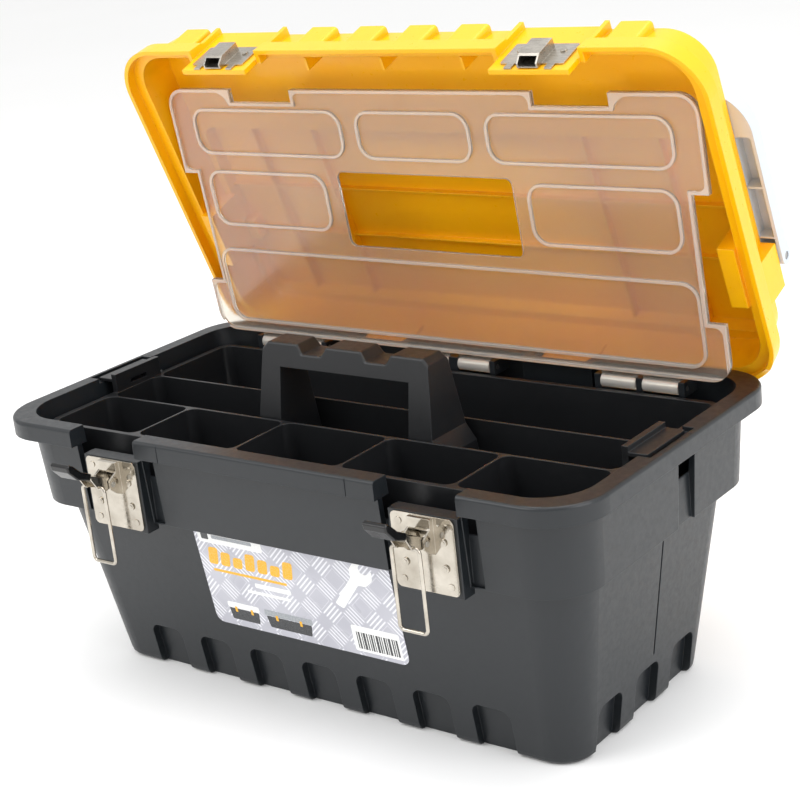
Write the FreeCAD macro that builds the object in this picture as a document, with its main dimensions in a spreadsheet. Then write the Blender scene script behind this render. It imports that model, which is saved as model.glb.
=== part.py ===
# Plastic toolbox with a lift-out tray: tapered tub, yellow lid on two steel pins, clear organiser
# cover, folding carry handle and two sprung-wire toggle latches. Millimetres, +Z up, origin at the
# middle of the tub's flat underside. X runs along the box, -Y is the latch side.
import FreeCAD, Part
import Sketcher
import math
import os

os.makedirs("parts", exist_ok=True)

doc = FreeCAD.newDocument("Toolbox")
sheet = doc.addObject("Spreadsheet::Sheet", "Dimensions")

# Driving dimensions: alias, value, what it is.
drivers = [
    ("boxHalfLength", 229.0, "half of the 458 overall length"),
    ("boxHalfDepth", 123.5, "half of the 247 overall depth"),
    ("rimHeight", 185.0, "top of the tub's rim"),
    ("flangeHeight", 12.0, "height of the rim flange"),
    ("bandBottom", 124.0, "underside of the wide upper band"),
    ("footHalfLength", 188.0, "underside, half length"),
    ("footHalfDepth", 80.0, "underside, half depth"),
    ("waistHalfLength", 207.0, "lower body just under the band, half length"),
    ("waistHalfDepth", 99.0, "lower body just under the band, half depth"),
    ("bandHalfLength", 216.0, "band at its bottom, half length"),
    ("bandHalfDepth", 111.0, "band at its bottom, half depth"),
    ("bandDraft", 3.0, "how far the band widens to the flange"),
    ("wall", 3.5, "moulded wall"),
    ("floorThick", 4.0, "floor of the tub"),
    ("ledgeTop", 126.5, "ledge that the tray rests on, Z"),
    ("footRound", 5.0, "rounding of the foot's lower edge"),
    ("cornerRadius", 36.0, "rim corner"),
    ("recessPitch", 44.4, "pitch of the foot recesses"),
    ("recessWide", 28.0, "width of a foot recess"),
    ("recessHigh", 33.0, "height of a foot recess"),
    ("recessDeep", 5.5, "depth of a foot recess"),
    ("latchPlace", 124.0, "latch centre from the middle"),
    ("notchHalf", 28.5, "half width of a rim notch"),
    ("notchFloor", 168.0, "bottom of a rim notch"),
    ("plateFace", 118.9, "front of the latch plates, from the middle"),
    ("sheetThick", 1.2, "pressed steel sheet"),
    ("hingePlace", 76.0, "lid hinge centre from the middle"),
    ("hingeBack", 115.2, "lid hinge axis, Y"),
    ("hingeUp", 176.7, "lid hinge axis, Z"),
    ("lidGap", 0.3, "gap between rim and closed lid"),
    ("lidOpen", 68.6, "lid angle as it stands open, degrees"),
    ("lidBand", 15.0, "height of the lid's outer band"),
    ("lidShoulder", 36.0, "height of the lid's shoulder"),
    ("lidCrown", 45.0, "height of the lid's raised middle"),
    ("lidWall", 2.7, "moulded wall of the lid"),
    ("handleTop", 47.7, "top of the folded handle over the lid's rim"),
    ("handleLow", 36.5, "underside of the folded handle over the lid's rim"),
    ("handlePivotBack", 48.5, "handle pivot, Y with the lid closed"),
    ("handleLeg", 15.0, "width of a handle leg"),
    ("handleBar", 18.0, "width of the handle's front bar"),
    ("handleReach", 72.5, "front edge of the folded handle, forward of the middle"),
    ("coverBack", 96.5, "cover hinge axis, Y"),
    ("coverUp", 178.5, "cover hinge axis, Z"),
    ("coverOpen", 82.3, "cover angle as it stands open, degrees"),
    ("coverHalf", 211.0, "half length of the cover"),
    ("coverSkin", 2.0, "thickness of the cover"),
    ("coverLip", 2.0, "depth of the cover's edge lip"),
    ("trayFloor", 126.8, "underside of the tray"),
    ("trayTop", 175.0, "top of the tray's walls"),
    ("trayHalf", 207.5, "half length of the tray at its top"),
    ("trayWall", 1.6, "tray partition"),
    ("dividerPitch", 84.5, "pitch of the small dividers"),
    ("pivotUp", 154.0, "latch lever pivot, Z"),
    ("pivotOut", 7.0, "latch lever pivot, out from the plate"),
    ("leverLong", 42.0, "lever from pivot to tip"),
    ("leverUp", 24.0, "lever angle above level as it stands open, degrees"),
    ("bailReach", 10.0, "bail eye from the lever pivot"),
    ("bailLong", 52.0, "bail from eye to cross bar"),
    ("bailHalf", 9.8, "bail leg centre from the latch centre"),
    ("wireRadius", 1.2, "bail wire"),
    ("pinRadius", 2.0, "lid hinge pin"),
    ("coverPinRadius", 1.8, "cover hinge pin"),
    ("runningFit", 0.08, "radial clearance of a turning joint"),
]
for row, (alias, value, note) in enumerate(drivers, start=1):
    sheet.set(f"A{row}", alias)
    sheet.set(f"B{row}", str(value))
    sheet.set(f"C{row}", note)
    sheet.setAlias(f"B{row}", alias)
doc.recompute()


# A length that carries both its number and the spreadsheet expression it comes from.
class Size:
    def __init__(self, value, text):
        self.value = value
        self.text = text

    def __add__(self, other):
        other = sized(other)
        return Size(self.value + other.value, f"({self.text} + {other.text})")

    def __sub__(self, other):
        other = sized(other)
        return Size(self.value - other.value, f"({self.text} - {other.text})")

    def __mul__(self, other):
        other = sized(other)
        return Size(self.value * other.value, f"({self.text} * {other.text})")

    def __truediv__(self, other):
        other = sized(other)
        return Size(self.value / other.value, f"({self.text} / {other.text})")

    def __radd__(self, other):
        return sized(other) + self

    def __rsub__(self, other):
        return sized(other) - self

    def __rmul__(self, other):
        return sized(other) * self

    def __neg__(self):
        return Size(-self.value, f"(-{self.text})")


def sized(thing):
    return thing if isinstance(thing, Size) else Size(float(thing), f"({float(thing)})")


class Dimensions:
    pass


dim = Dimensions()
for alias, value, note in drivers:
    setattr(dim, alias, Size(value, "Dimensions." + alias))


def bind(thing, path, size):
    thing.setExpression(path, sized(size).text)


# ---- bodies, sketches and features

nodes = []


def newBody(name):
    body = doc.addObject("PartDesign::Body", name)
    body.Label = name
    nodes.append(body)
    return body


def originPlane(body, role):
    return next(plane for plane in body.Origin.OriginFeatures if plane.Role == role)


def attach(thing, body, role, offset=(0, 0, 0), tilt=0):
    thing.AttachmentSupport = [(originPlane(body, role), "")]
    thing.MapMode = "FlatFace"
    turn = FreeCAD.Rotation(FreeCAD.Vector(1, 0, 0), tilt)
    thing.AttachmentOffset = FreeCAD.Placement(FreeCAD.Vector(*(sized(o).value for o in offset)), turn)
    for axis, size in zip("xyz", offset):
        if isinstance(size, Size):
            bind(thing, f"AttachmentOffset.Base.{axis}", size)


# Adds a feature and leaves its seams in, which keeps the later booleans quick.
def newFeature(body, kind, name):
    feature = body.newObject("PartDesign::" + kind, name)
    if hasattr(feature, "Refine"):
        feature.Refine = False
    return feature


def newSketch(body, name, role="XY_Plane", offset=(0, 0, 0), tilt=0):
    sketch = body.newObject("Sketcher::SketchObject", name)
    attach(sketch, body, role, offset, tilt)
    return sketch


# A constraint, with its expression, that holds one coordinate of a point at a signed distance
# from the sketch's origin.
def placed(kind, geometry, point, size):
    size = sized(size)
    if abs(size.value) < 1e-9:
        axis = -1 if kind == "DistanceY" else -2
        return Sketcher.Constraint("PointOnObject", geometry, point, axis), None
    if size.value > 0:
        return Sketcher.Constraint(kind, -1, 1, geometry, point, size.value), size.text
    return Sketcher.Constraint(kind, geometry, point, -1, 1, -size.value), (-size).text


# Adds the constraints in one go and binds those that have an expression.
def constrain(sketch, rules):
    rules = [rule if isinstance(rule, tuple) else (rule, None) for rule in rules]
    first = sketch.ConstraintCount
    sketch.addConstraint([rule for rule, text in rules])
    for index, (rule, text) in enumerate(rules, start=first):
        if text:
            sketch.setExpression(f"Constraints[{index}]", text)


def roundedRect(sketch, low, high, radius):
    (left, front), (right, back), radius = low, high, sized(radius)
    x0, y0, x1, y1 = (sized(v).value for v in (left, front, right, back))
    r = radius.value
    first = sketch.GeometryCount
    point = lambda x, y: FreeCAD.Vector(x, y, 0)
    pieces = []
    for a, b in (
        ((x0 + r, y0), (x1 - r, y0)),
        ((x1, y0 + r), (x1, y1 - r)),
        ((x1 - r, y1), (x0 + r, y1)),
        ((x0, y1 - r), (x0, y0 + r)),
    ):
        pieces.append(Part.LineSegment(point(*a), point(*b)))
    centres = (x1 - r, y0 + r), (x1 - r, y1 - r), (x0 + r, y1 - r), (x0 + r, y0 + r)
    for quarter, (x, y) in enumerate(centres):
        circle = Part.Circle(point(x, y), FreeCAD.Vector(0, 0, 1), r)
        start = (quarter - 1) * math.pi / 2
        pieces.append(Part.ArcOfCircle(circle, start, start + math.pi / 2))
    sketch.addGeometry(pieces)
    rules = []
    for side in range(4):
        line, arc, after = first + side, first + 4 + side, first + (side + 1) % 4
        rules.append(Sketcher.Constraint("Tangent", line, 2, arc, 1))
        rules.append(Sketcher.Constraint("Tangent", arc, 2, after, 1))
        rules.append(Sketcher.Constraint("Vertical" if side % 2 else "Horizontal", line))
    for arc in range(first + 5, first + 8):
        rules.append(Sketcher.Constraint("Equal", first + 4, arc))
    rules.append((Sketcher.Constraint("Radius", first + 4, r), radius.text))
    rules.append(placed("DistanceY", first, 1, front))
    rules.append(placed("DistanceX", first + 1, 1, right))
    rules.append(placed("DistanceY", first + 2, 1, back))
    rules.append(placed("DistanceX", first + 3, 1, left))
    constrain(sketch, rules)


def polygon(sketch, corners):
    first = sketch.GeometryCount
    spots = [FreeCAD.Vector(sized(x).value, sized(y).value, 0) for x, y in corners]
    sketch.addGeometry([Part.LineSegment(here, there) for here, there in zip(spots, spots[1:] + spots[:1])])
    rules = []
    for index, (x, y) in enumerate(corners):
        before = first + (index - 1) % len(corners)
        rules.append(Sketcher.Constraint("Coincident", before, 2, first + index, 1))
        rules.append(placed("DistanceX", first + index, 1, x))
        rules.append(placed("DistanceY", first + index, 1, y))
    constrain(sketch, rules)


def pad(body, name, sketch, length, both=False, kind="Pad", away=False):
    feature = newFeature(body, kind, name)
    feature.Profile = sketch
    bind(feature, "Length", length)
    feature.Midplane = both
    feature.Reversed = away
    return feature


def pocket(body, name, sketch, length, both=False, away=False):
    return pad(body, name, sketch, length, both, "Pocket", away)


def loft(body, name, sketches, cut=False):
    feature = newFeature(body, "SubtractiveLoft" if cut else "AdditiveLoft", name)
    feature.Profile = sketches[0]
    feature.Sections = sketches[1:]
    feature.Ruled = True
    return feature


# A loft between two level rounded rectangles, each (low, high, radius, z).
def taperedBlock(body, name, bottom, top, cut=False):
    sketches = []
    for label, (low, high, radius, z) in (("Low", bottom), ("High", top)):
        sketch = newSketch(body, name + label, offset=(0, 0, z))
        roundedRect(sketch, low, high, radius)
        sketches.append(sketch)
    return loft(body, name, sketches, cut)


def centred(halfLength, halfDepth, radius, z):
    return (-halfLength, -halfDepth), (halfLength, halfDepth), radius, z


def brick(body, name, low, high, cut=False):
    feature = newFeature(body, "SubtractiveBox" if cut else "AdditiveBox", name)
    attach(feature, body, "XY_Plane", low)
    for path, near, far in zip(("Length", "Width", "Height"), low, high):
        bind(feature, path, sized(far) - sized(near))
    return feature


# A round bar along X from one x to another, at (y, z).
def bar(body, name, start, end, y, z, radius, cut=False):
    feature = newFeature(body, "SubtractiveCylinder" if cut else "AdditiveCylinder", name)
    attach(feature, body, "YZ_Plane", (y, z, start))
    bind(feature, "Radius", radius)
    bind(feature, "Height", sized(end) - sized(start))
    return feature


def mirrored(body, name, features, role):
    feature = newFeature(body, "Mirrored", name)
    feature.Originals = features
    feature.MirrorPlane = (originPlane(body, role), [""])
    body.Tip = feature
    return feature


def roundEdges(body, name, radius, wanted):
    doc.recompute()
    base = body.Tip
    names = [f"Edge{i}" for i, edge in enumerate(base.Shape.Edges, start=1) if wanted(edge)]
    feature = newFeature(body, "Fillet", name)
    feature.Base = (base, names)
    bind(feature, "Radius", radius)
    return feature


def level(edge, z, slack=0.01):
    return abs(edge.BoundBox.ZMin - z) < slack and abs(edge.BoundBox.ZMax - z) < slack


sides = (("Left", -1), ("Right", 1))


def span(middle, half):
    return sized(middle) - half, sized(middle) + half


# ---- tub


def buildTub():
    body = newBody("tub")
    rimBottom = dim.rimHeight - dim.flangeHeight
    # the foot's rounded lower edge, as three steps of a quarter circle, then the tapered body
    steps = []
    rise = dim.footRound / dim.bandBottom
    halfLength = dim.footHalfLength + (dim.waistHalfLength - dim.footHalfLength) * rise
    halfDepth = dim.footHalfDepth + (dim.waistHalfDepth - dim.footHalfDepth) * rise
    for degrees in (0, 30, 60, 90):
        inset = dim.footRound * (1 - math.sin(math.radians(degrees)))
        height = dim.footRound * (1 - math.cos(math.radians(degrees)))
        steps.append(centred(halfLength - inset, halfDepth - inset, dim.cornerRadius - 14 - inset, height))
    steps.append(centred(dim.waistHalfLength, dim.waistHalfDepth, dim.cornerRadius - 6, dim.bandBottom))
    for index, (bottom, top) in enumerate(zip(steps, steps[1:])):
        taperedBlock(body, f"Lower{index}", bottom, top)
    taperedBlock(
        body, "Band",
        centred(dim.bandHalfLength, dim.bandHalfDepth, dim.cornerRadius - 3, dim.bandBottom),
        centred(dim.bandHalfLength + dim.bandDraft, dim.bandHalfDepth + dim.bandDraft,
                dim.cornerRadius - 2, rimBottom),
    )
    flange = newSketch(body, "FlangeOutline", offset=(0, 0, rimBottom))
    roundedRect(flange, (-dim.boxHalfLength, -dim.boxHalfDepth), (dim.boxHalfLength, dim.boxHalfDepth),
                dim.cornerRadius)
    pad(body, "Flange", flange, dim.flangeHeight)
    roundEdges(body, "RimRound", 2.2, lambda edge: level(edge, dim.rimHeight.value))
    # storage space: narrow below the tray ledge, wide above it
    inner = dim.recessDeep + 4.5
    taperedBlock(
        body, "Store",
        centred(dim.footHalfLength - inner, dim.footHalfDepth - inner, dim.cornerRadius - 18, dim.floorThick),
        centred(dim.waistHalfLength - dim.wall, dim.waistHalfDepth - dim.wall, dim.cornerRadius - 9,
                dim.bandBottom),
        cut=True,
    )
    mouth = newSketch(body, "StoreMouthOutline", offset=(0, 0, dim.bandBottom - 0.2))
    roundedRect(mouth, (-199, -89), (199, 89), 20)
    pocket(body, "StoreMouth", mouth, dim.ledgeTop - dim.bandBottom + 1, away=True)
    taperedBlock(
        body, "TrayWell",
        centred(dim.bandHalfLength - 4.5, dim.bandHalfDepth - 4.5, dim.cornerRadius - 7, dim.ledgeTop),
        centred(dim.bandHalfLength + 0.3, dim.bandHalfDepth - 0.2, dim.cornerRadius - 5, dim.rimHeight),
        cut=True,
    )
    buildFootRecesses(body)
    buildLatchSeats(body)
    buildEnds(body)
    buildHingeSeats(body)
    return body


# Scooped recesses round the foot, cut square to the sloping walls.
def buildFootRecesses(body):
    slope = math.degrees(math.atan((dim.waistHalfDepth.value - dim.footHalfDepth.value) / dim.bandBottom.value))
    front = newSketch(body, "FrontRecesses", "XZ_Plane", (0, 0, dim.footHalfDepth - dim.recessDeep), slope)
    for step in range(-3, 4):
        left, right = span(dim.recessPitch * step, dim.recessWide / 2)
        roundedRect(front, (left, -14), (right, dim.recessHigh), 7)
    cut = pocket(body, "FrontScoops", front, 14, away=True)
    mirrored(body, "BackScoops", [cut], "XZ_Plane")
    slope = math.degrees(math.atan((dim.waistHalfLength.value - dim.footHalfLength.value) / dim.bandBottom.value))
    end = newSketch(body, "EndRecesses", "YZ_Plane", (0, 0, dim.footHalfLength - dim.recessDeep), slope)
    for step in (-1, 0, 1):
        left, right = span(dim.recessPitch * step, dim.recessWide / 2)
        roundedRect(end, (left, -14), (right, dim.recessHigh), 7)
    cut = pocket(body, "RightScoops", end, 14, away=True)
    mirrored(body, "LeftScoops", [cut], "YZ_Plane")


# Rim notches, the blocks that carry the latch plates and the slots beside them.
def buildLatchSeats(body):
    seatFace = -(dim.plateFace - dim.sheetThick)
    rimBottom = dim.rimHeight - dim.flangeHeight
    for side, sign in sides:
        middle = dim.latchPlace * sign
        left, right = span(middle, dim.notchHalf)
        brick(body, "Notch" + side, (left, -130, dim.notchFloor), (right, -104, dim.rimHeight + 5), cut=True)
        for name, near in (("Inner", -34), ("Outer", 24.5)):
            brick(body, f"Slot{name}{side}", (middle + near, -124, dim.bandBottom + 1),
                  (middle + near + 9.5, -108.7, rimBottom), cut=True)
        left, right = span(middle, 24)
        brick(body, "Seat" + side, (left, seatFace, 119), (right, -107.5, dim.notchFloor))
    # thin parting seams in the flange
    for index, x in enumerate((-75, 75)):
        brick(body, f"Seam{index}", (x - 0.4, -124, rimBottom - 1), (x + 0.4, -123, dim.rimHeight + 1),
              cut=True)


# Ends: a recess in the rim for the tray's ears, a slot and a thin groove outside.
def buildEnds(body):
    rimBottom = dim.rimHeight - dim.flangeHeight
    brick(body, "EarRecess", (206, -34, dim.rimHeight - 3.2), (dim.boxHalfLength - 4.5, 18, 190), cut=True)
    earRecess = body.Tip
    brick(body, "EndSlot", (dim.bandHalfLength - 2.3, 7, dim.bandBottom - 0.5), (222, 27, rimBottom), cut=True)
    endSlot = body.Tip
    mirrored(body, "LeftEndCuts", [earRecess, endSlot], "YZ_Plane")
    groove = newSketch(body, "GrooveOutline", "XZ_Plane", (0, 0, -7))
    slope = (dim.waistHalfLength - dim.footHalfLength) / dim.bandBottom
    foot, deep = 38, 1.1
    polygon(groove, [
        (dim.footHalfLength + slope * foot - deep, foot),
        (dim.footHalfLength + slope * foot + 3, foot),
        (dim.waistHalfLength + 3, dim.bandBottom),
        (dim.waistHalfLength - deep, dim.bandBottom),
    ])
    cut = pocket(body, "Groove", groove, 1.6, away=True)
    mirrored(body, "LeftGroove", [cut], "YZ_Plane")


# Pockets and pin holes for the lid's knuckles, lugs for the cover's pins.
def buildHingeSeats(body):
    for side, sign in sides:
        middle = dim.hingePlace * sign
        left, right = span(middle, 27)
        brick(body, "HingeHouse" + side, (left, 104.5, 160), (right, 118, dim.rimHeight))
        left, right = span(middle, 20.8)
        brick(body, "HingePocket" + side, (left, 108.5, 169.5), (right, 130, dim.rimHeight + 5), cut=True)
        left, right = span(middle, 26)
        bar(body, "HingeBore" + side, left, right, dim.hingeBack, dim.hingeUp, dim.pinRadius + 0.03, cut=True)
    for index, (left, right) in enumerate(coverLugs):
        brick(body, f"CoverLug{index}", (left, 92.3, 173.6), (right, 111, 183.2))
    for index, (left, right) in enumerate(coverPins):
        bar(body, f"CoverBore{index}", left - 0.2, right + 0.2, dim.coverBack, dim.coverUp,
            dim.coverPinRadius + 0.03, cut=True)


# Cover hinge layout along X: lugs on the tub, barrels on the cover, one pin per group.
barrelLong = 25.5
coverGroups = [(-145, 2.0), (0, 3.5), (145, 2.0)]
coverLugs = []
coverBarrels = []
coverPins = []
for middle, halfLug in coverGroups:
    outer = halfLug + 0.5 + barrelLong + 0.5
    coverLugs += [(middle - outer - 4, middle - outer), (middle - halfLug, middle + halfLug),
                  (middle + outer, middle + outer + 4)]
    coverBarrels += [(middle - outer + 0.5, middle - halfLug - 0.5), (middle + halfLug + 0.5, middle + outer - 0.5)]
    coverPins.append((middle - outer - 4, middle + outer + 4))


# ---- lid and what it carries, modelled closed and then swung open

lidTurn = FreeCAD.Placement(
    FreeCAD.Vector(0, 0, 0),
    FreeCAD.Rotation(FreeCAD.Vector(1, 0, 0), -dim.lidOpen.value),
    FreeCAD.Vector(0, dim.hingeBack.value, dim.hingeUp.value),
)
lidBase = dim.rimHeight + dim.lidGap


def swingWithLid(thing):
    thing.Placement = lidTurn.multiply(thing.Placement)


def buildLid():
    body = newBody("lid")
    bandTop, shoulder, crown = (lidBase + dim.lidBand, lidBase + dim.lidShoulder, lidBase + dim.lidCrown)
    bandEdge = centred(dim.boxHalfLength - 1.2, dim.boxHalfDepth - 1.2, dim.cornerRadius - 1, bandTop - 2)
    taperedBlock(
        body, "RimBand", centred(dim.boxHalfLength, dim.boxHalfDepth, dim.cornerRadius, lidBase), bandEdge
    )
    taperedBlock(
        body, "BandBevel", bandEdge,
        centred(dim.boxHalfLength - 3.2, dim.boxHalfDepth - 3.2, dim.cornerRadius - 3, bandTop),
    )
    taperedBlock(
        body, "Shoulder",
        centred(dim.boxHalfLength - 8.5, dim.boxHalfDepth - 5.5, dim.cornerRadius - 6, bandTop - 3),
        centred(dim.boxHalfLength - 12, dim.boxHalfDepth - 9, dim.cornerRadius - 8, shoulder),
    )
    crownLow = ((-211, -44), (211, 108), 12, shoulder - 1)
    crownHigh = ((-209, -42), (209, 105), 11, crown)
    taperedBlock(body, "Crown", crownLow, crownHigh)
    roundEdges(body, "CrownRound", 1.8, lambda edge: level(edge, crown.value))
    # pads that carry the handle's legs where they pivot
    brick(body, "PivotPadRight", (210, dim.handlePivotBack - 14, bandTop - 2),
          (dim.boxHalfLength - 2, dim.handlePivotBack + 18, shoulder - 0.8))
    mirrored(body, "PivotPadLeft", [body.Tip], "YZ_Plane")
    # hollow: a wide mouth, the main space and the raised middle
    taperedBlock(
        body, "Mouth",
        centred(dim.boxHalfLength - 3, dim.boxHalfDepth - 3, dim.cornerRadius - 3, lidBase - 1),
        centred(dim.boxHalfLength - 3.5, dim.boxHalfDepth - 3.5, dim.cornerRadius - 3, lidBase + 7),
        cut=True,
    )
    taperedBlock(
        body, "Space",
        centred(dim.boxHalfLength - 12, dim.boxHalfDepth - 9, dim.cornerRadius - 10, lidBase + 6),
        centred(dim.boxHalfLength - 15, dim.boxHalfDepth - 12, dim.cornerRadius - 12, shoulder - dim.lidWall),
        cut=True,
    )
    taperedBlock(
        body, "CrownSpace",
        ((-208, -41), (208, 105), 10, shoulder - dim.lidWall - 1),
        ((-206.5, -39.5), (206.5, 102.5), 9, crown - dim.lidWall),
        cut=True,
    )
    buildLidFront(body, shoulder)
    buildLidInside(body, shoulder)
    # room for the tub's flange to pass behind the hinge line
    bar(body, "HingeClear", -232, 232, dim.hingeBack, dim.hingeUp, 12.2, cut=True)
    for side, sign in sides:
        middle = dim.hingePlace * sign
        left, right = span(middle, 20)
        brick(body, "HingeArm" + side, (left, 112.2, dim.hingeUp), (right, 120.6, lidBase + 16))
        bar(body, "Knuckle" + side, left, right, dim.hingeBack, dim.hingeUp, 5.5)
        bar(body, "KnuckleBore" + side, left - 1, right + 1, dim.hingeBack, dim.hingeUp,
            dim.pinRadius + dim.runningFit, cut=True)
    for side, sign in sides:
        start, end = (204, 229) if sign > 0 else (-229, -204)
        bar(body, "HandleBore" + side, start, end, dim.handlePivotBack, handlePivotUp, 2.53, cut=True)
    swingWithLid(body)


# Front of the lid: tabs that fill the rim notches, with recesses for the strikes, and raised pads.
def buildLidFront(body, shoulder):
    for side, sign in sides:
        middle = dim.latchPlace * sign
        left, right = span(middle, dim.notchHalf + 3)
        brick(body, "TabBack" + side, (left, -121, lidBase), (right, -113.6, shoulder - 1))
        left, right = span(middle, dim.notchHalf)
        brick(body, "StrikeRecess" + side, (left, -126, lidBase - 1), (right, -117, shoulder + 1), cut=True)
        left, right = span(middle, dim.notchHalf - 0.8)
        brick(body, "Tab" + side, (left, -117, lidBase - 13.5), (right, -113.6, lidBase + 2))
    pads = newSketch(body, "FrontPadOutlines", offset=(0, 0, lidBase + dim.lidBand - 2))
    for step in (-3.9, -1.35, -0.45, 0.45, 1.35, 3.9):
        left, right = span(dim.recessPitch * step, dim.recessWide * 0.4)
        roundedRect(pads, (left, -120.8), (right, -113.5), 2.5)
    pad(body, "FrontPads", pads, dim.lidShoulder - dim.lidBand)


# Inside of the lid: stiffening ribs and the blocks behind the handle pivots.
def buildLidInside(body, shoulder):
    roof = lidBase + dim.lidCrown - dim.lidWall
    for index, x in enumerate((-165, -110, 110, 165)):
        brick(body, f"RoofRib{index}", (x - 0.8, -40, roof - 6), (x + 0.8, 104, roof + 0.5))
    for index, y in enumerate((12, 52)):
        brick(body, f"LongRib{index}", (-207, y - 0.8, roof - 4), (207, y + 0.8, roof + 0.5))
    for side, sign in sides:
        start, end = (205.5, 217) if sign > 0 else (-217, -205.5)
        brick(body, "PivotBlock" + side, (start, 18, lidBase + 4), (end, 62, shoulder - 1))
        start, end = (196, 208) if sign > 0 else (-208, -196)
        brick(body, "PivotBoss" + side, (start, dim.handlePivotBack - 8, shoulder - 4),
              (end, dim.handlePivotBack + 8, roof + 0.5))
    for index, x in enumerate((-62, 0, 62)):
        brick(body, f"FrontGusset{index}", (x - 0.8, -113, lidBase + 8), (x + 0.8, -104, shoulder - 1))


handlePivotUp = lidBase + (dim.handleTop + dim.handleLow) / 2


# U-shaped carry handle: two legs and a front bar, hollow and ribbed underneath.
def buildHandle():
    body = newBody("carry_handle")
    high = dim.handleTop - dim.handleLow
    low, top = lidBase + dim.handleLow, lidBase + dim.handleTop
    outer, inner = dim.boxHalfLength, dim.boxHalfLength - dim.handleLeg
    end = high / 2
    outline = newSketch(body, "HandleOutline", offset=(0, 0, low))
    roundedRect(outline, (-outer, -dim.handleReach), (outer, dim.handlePivotBack + 45), 30)
    pad(body, "HandleSlab", outline, high)
    gap = newSketch(body, "HandleGap", offset=(0, 0, low))
    roundedRect(gap, (-inner, -dim.handleReach + dim.handleBar), (inner, 150), 17)
    pocket(body, "HandleOpening", gap, high + 2, away=True)
    roundEdges(body, "HandleSoft", 1.6, lambda edge: level(edge, top.value))
    # rounded pivot ends
    ends = newSketch(body, "EndTrim", "YZ_Plane")
    y, z = dim.handlePivotBack, handlePivotUp
    polygon(ends, [(y, low - 1), (y + 60, low - 1), (y + 60, top + 1), (y, top + 1)])
    pocket(body, "EndTrims", ends, 480, both=True)
    for side, sign in sides:
        start, stop = (inner, outer) if sign > 0 else (-outer, -inner)
        bar(body, "PivotEnd" + side, start, stop, y, z, end)
    # hollow underside
    skin = 2.4
    under = newSketch(body, "BarHollow", offset=(0, 0, low))
    roundedRect(under, (-outer + 32, -dim.handleReach + skin),
                (outer - 32, -dim.handleReach + dim.handleBar - skin), 2)
    pocket(body, "BarHollowCut", under, high - skin - 1.6, away=True)
    for side, sign in sides:
        start, stop = (inner + skin, outer - skin) if sign > 0 else (-outer + skin, -inner - skin)
        leg = newSketch(body, "LegHollow" + side, offset=(0, 0, low))
        roundedRect(leg, (start, -dim.handleReach + 32), (stop, y - 10), 2)
        pocket(body, "LegHollowCut" + side, leg, high - skin, away=True)
        for rib in range(3):
            back = y - 17.5 - 36.5 * rib
            brick(body, f"LegRib{side}{rib}", (start - 0.5, back, low), (stop + 0.5, back + 1.4, top - 1.5))
    for rib in range(-4, 5):
        brick(body, f"BarRib{rib + 4}", (37.0 * rib - 0.7, -dim.handleReach + skin - 0.5, low),
              (37.0 * rib + 0.7, -dim.handleReach + dim.handleBar - skin + 0.5, top - 3))
    # seat for the soft grip
    brick(body, "GripSeat", (-57, -dim.handleReach + 2.5, top - 1.6),
          (57, -dim.handleReach + dim.handleBar - 2.5, top + 1), cut=True)
    for side, sign in sides:
        start, stop = (200, 240) if sign > 0 else (-240, -200)
        bar(body, "PivotBore" + side, start, stop, y, z, 2.5 + dim.runningFit, cut=True)
    swingWithLid(body)

    grip = newBody("handle_grip")
    front, back = -dim.handleReach + 2.5 + 0.02, -dim.handleReach + dim.handleBar - 2.5 - 0.02
    plate = newSketch(grip, "GripOutline", offset=(0, 0, top - 1.58))
    roundedRect(plate, (-56.9, front), (56.9, back), 1)
    pad(grip, "GripPad", plate, 1.88)
    for step in range(-6, 7):
        brick(grip, f"GripGroove{step + 6}", (8.0 * step - 0.8, front - 1, top - 0.4), (8.0 * step + 0.8, back + 1, top + 2),
              cut=True)
    swingWithLid(grip)


# ---- organiser cover, modelled closed and then swung open

coverTurn = FreeCAD.Placement(
    FreeCAD.Vector(0, 0, 0),
    FreeCAD.Rotation(FreeCAD.Vector(1, 0, 0), -dim.coverOpen.value),
    FreeCAD.Vector(0, dim.coverBack.value, dim.coverUp.value),
)
coverCells = [
    ((-192, 146), (-58, 180)), ((-46, 146), (46, 180)), ((58, 146), (192, 180)),
    ((-190, 92), (-82, 134)), ((82, 92), (190, 134)),
    ((-196, 16), (196, 74)),
]


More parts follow.
